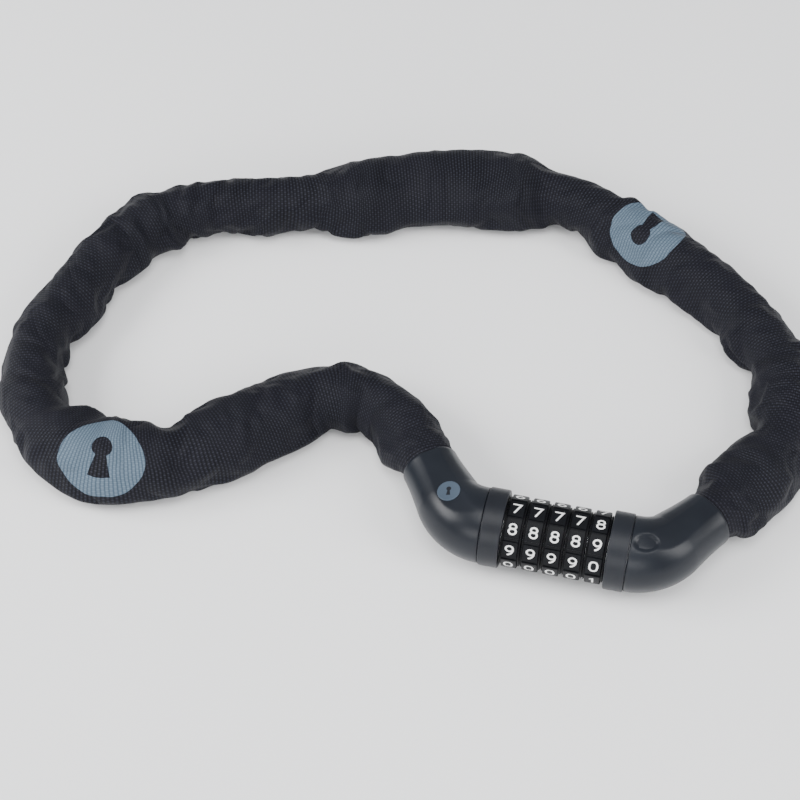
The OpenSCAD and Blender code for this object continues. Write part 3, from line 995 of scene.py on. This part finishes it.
def stroke(points, closed, width):
    """A ribbon of that width along the points, with round ends: vertices and faces in 2D."""
    p = np.array(fine_points(points, closed), float)
    n = len(p)
    ahead = np.roll(p, -1, axis=0) - p
    behind = p - np.roll(p, 1, axis=0)
    if not closed:
        ahead[-1], behind[0] = behind[-1], ahead[0]
    ahead /= np.linalg.norm(ahead, axis=1)[:, None]
    behind /= np.linalg.norm(behind, axis=1)[:, None]
    tangent = ahead + behind
    tangent /= np.linalg.norm(tangent, axis=1)[:, None]
    normal = np.stack([-tangent[:, 1], tangent[:, 0]], 1)
    reach = width / 2 / np.maximum(0.55, (tangent * ahead).sum(1))
    left, right = p + normal * reach[:, None], p - normal * reach[:, None]
    vertices = [tuple(v) for pair in zip(left, right) for v in pair]
    count = n if closed else n - 1
    faces = [(2 * k, 2 * k + 1, 2 * ((k + 1) % n) + 1, 2 * ((k + 1) % n)) for k in range(count)]
    if not closed:
        for end, way in ((0, -1), (n - 1, 1)):
            heading = math.atan2(tangent[end][1] * way, tangent[end][0] * way)
            hub = len(vertices)
            vertices.append(tuple(p[end]))
            ring = [heading - math.pi / 2 + math.pi * k / 10 for k in range(11)]
            vertices += [(p[end][0] + width / 2 * math.cos(a), p[end][1] + width / 2 * math.sin(a))
                         for a in ring]
            faces += [(hub, hub + 1 + k, hub + 2 + k) for k in range(10)]
    return vertices, faces


NUMERAL_HIGH = 5.0
NUMERAL_STROKE = 0.134


def numerals_mesh(i):
    """The ten painted digits of one wheel, laid on its pads."""
    vertices, faces = [], []
    for row in range(DIGITS):
        digit = (SHOWN[i] + row) % DIGITS
        middle = ROW_ANGLE + row * PAD_STEP
        for points, closed in numeral(digit):
            v2, f2 = stroke(points, closed, NUMERAL_STROKE)
            base = len(vertices)
            for x, y in v2:
                x, y = x * NUMERAL_HIGH * 1.16, y * NUMERAL_HIGH
                q = middle - y / PAD_R
                r = pad_radius(q) + 0.05
                vertices.append(Vector((WHEEL_X[i] + x * MM, LOCK.y + r * math.cos(q) * MM,
                                        LOCK.z + r * math.sin(q) * MM)))
            faces += [tuple(base + k for k in f) for f in f2]
    obj = new_object(f"wheel_{i + 1}_numerals", vertices, faces)
    centre = Vector((WHEEL_X[i], LOCK.y, LOCK.z))
    b = bmesh.new()
    b.from_mesh(obj.data)
    b.normal_update()
    turned = [f for f in b.faces if f.normal.dot(f.calc_center_median() - centre) < 0]
    bmesh.ops.reverse_faces(b, faces=turned)
    b.to_mesh(obj.data)
    b.free()
    obj.data.materials.append(PAINT)
    return obj


def make_wheels():
    for i in range(WHEELS):
        body = f"wheel_{i + 1}"
        wheel = wheel_mesh(i)
        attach(wheel, body)
        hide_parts(f"number_wheel_{i + 1}")
        digits = numerals_mesh(i)
        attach(digits, body)


make_wheels()


# ---------------------------------------------------------------- floor and light
def add_floor():
    size = 3.0
    floor = new_object("floor", [(-size, -size, 0), (size, -size, 0), (size, size, 0), (-size, size, 0)],
                       [(0, 1, 2, 3)], False)
    floor.location.z = -0.0002
    m, nodes, links, shader = material("floor_paper")
    place = node(nodes, "ShaderNodeTexCoord")
    cloud = node(nodes, "ShaderNodeTexNoise", in_Scale=3.0)
    links.new(place.outputs["Object"], cloud.inputs["Vector"])
    links.new(ramp(nodes, links, cloud.outputs["Fac"], [(0.3, (.90, .90, .91)), (0.7, (.93, .93, .935))]),
              shader.inputs["Base Color"])
    shader.inputs["Roughness"].default_value = 0.8
    floor.data.materials.append(m)


def add_light(name, where, size, power, colour=(1, 1, 1)):
    data = bpy.data.lights.new(name, "AREA")
    data.shape = "RECTANGLE"
    data.size, data.size_y = size
    data.energy = power
    data.color = colour
    light = bpy.data.objects.new(name, data)
    bpy.context.scene.collection.objects.link(light)
    light.location = where
    aim = Vector((0, 0, 0)) - Vector(where)
    light.rotation_euler = aim.to_track_quat("-Z", "Y").to_euler()


def add_world():
    world = bpy.data.worlds.new("studio")
    world.use_nodes = True
    back = world.node_tree.nodes["Background"]
    back.inputs[0].default_value = (0.95, 0.97, 1.0, 1)
    back.inputs[1].default_value = 0.6
    bpy.context.scene.world = world


add_floor()
add_world()
add_light("left", (-1.1, -0.35, 0.8), (0.9, 0.6), 20)
add_light("right", (1.1, -0.2, 0.7), (0.5, 0.9), 11)
add_light("front", (0.0, -1.3, 0.55), (1.2, 0.5), 9)
add_light("top", (0.1, -0.35, 1.6), (0.9, 0.9), 14)
